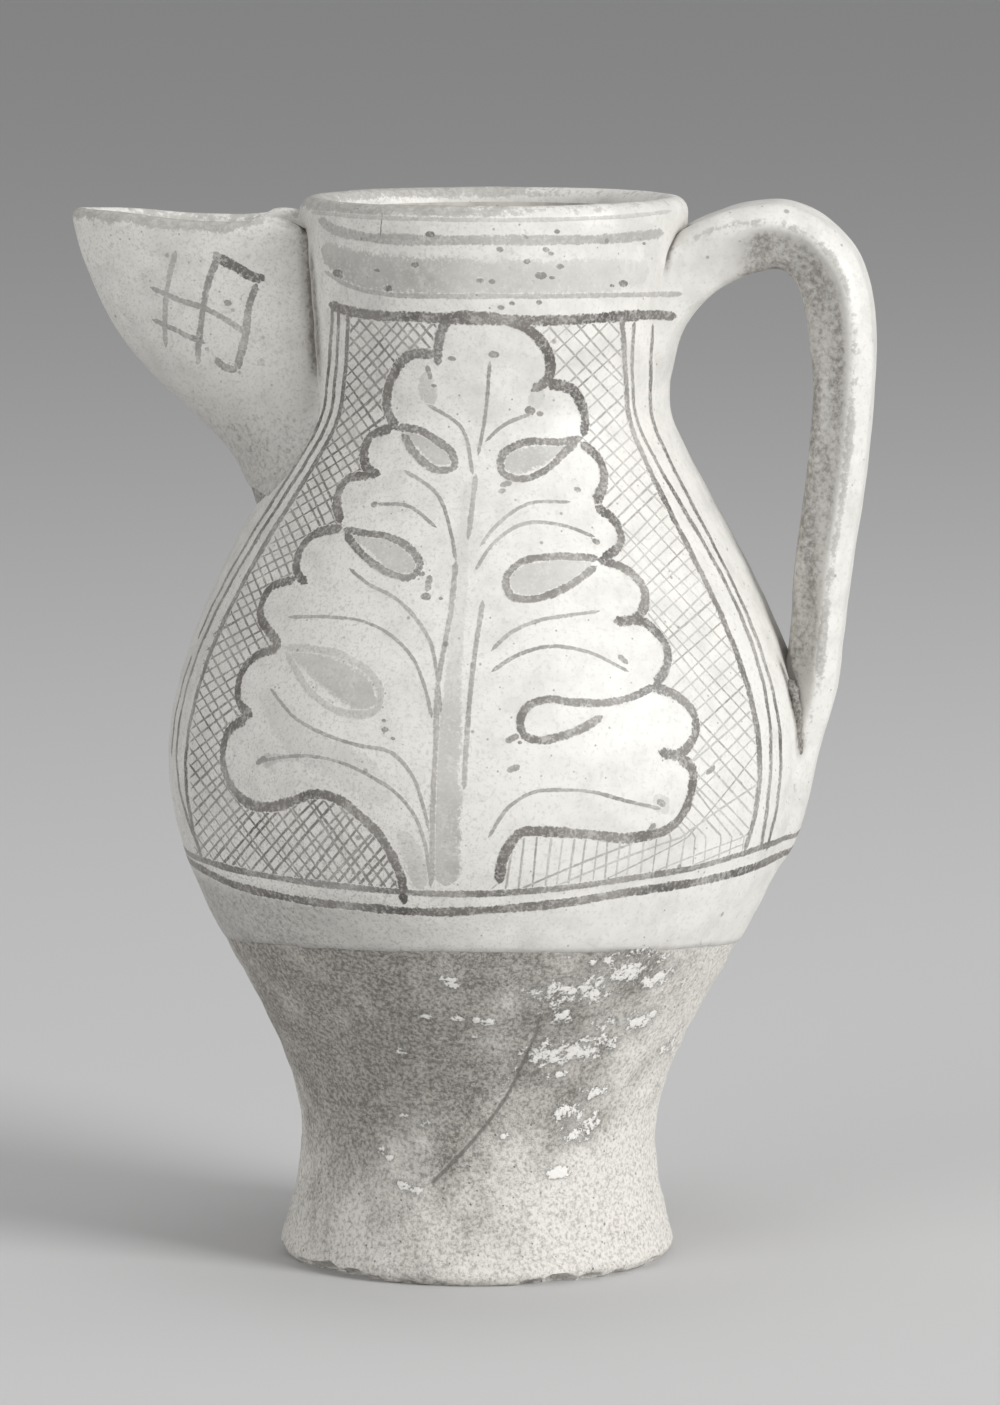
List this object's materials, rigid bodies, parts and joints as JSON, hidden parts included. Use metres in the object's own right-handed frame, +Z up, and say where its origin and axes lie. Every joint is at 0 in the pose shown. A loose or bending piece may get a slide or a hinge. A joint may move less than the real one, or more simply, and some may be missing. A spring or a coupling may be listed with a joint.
{
  "type": "oinochoe jug",
  "caption": "Tall pear-shaped pouring jug of tin-glazed earthenware, with a flared foot, a wide neck, an open trough spout and a strap handle.",
  "frame": {"origin": "centre of the foot's flat resting face", "axes": "+Z up the jug's axis; the spout points along -X and the handle stands along +X; the painted panel in the picture faces -Y"},
  "size_m": [0.205, 0.162, 0.27],
  "materials": {
    "bare_clay": "rough fired clay, gritty, with pale crusts",
    "luting_clay": "rough fired clay, smeared by hand",
    "tin_glaze": "opaque off-white tin glaze, soft gloss, pitted and speckled",
    "lining_glaze": "thin wash of glaze, uneven",
    "brown_pigment": "painted manganese brown sunk in the glaze",
    "pale_wash": "thin painted wash over the glaze"
  },
  "bodies": {
    "root": {"thrown_body": "bare_clay", "spout": "bare_clay", "spout_luting": "luting_clay", "handle": "bare_clay", "handle_top_luting": "luting_clay", "handle_foot_luting": "luting_clay", "body_glaze": "tin_glaze", "spout_glaze": "tin_glaze", "handle_glaze": "tin_glaze", "glaze_lining": "lining_glaze"}
  },
  "joints": []
}
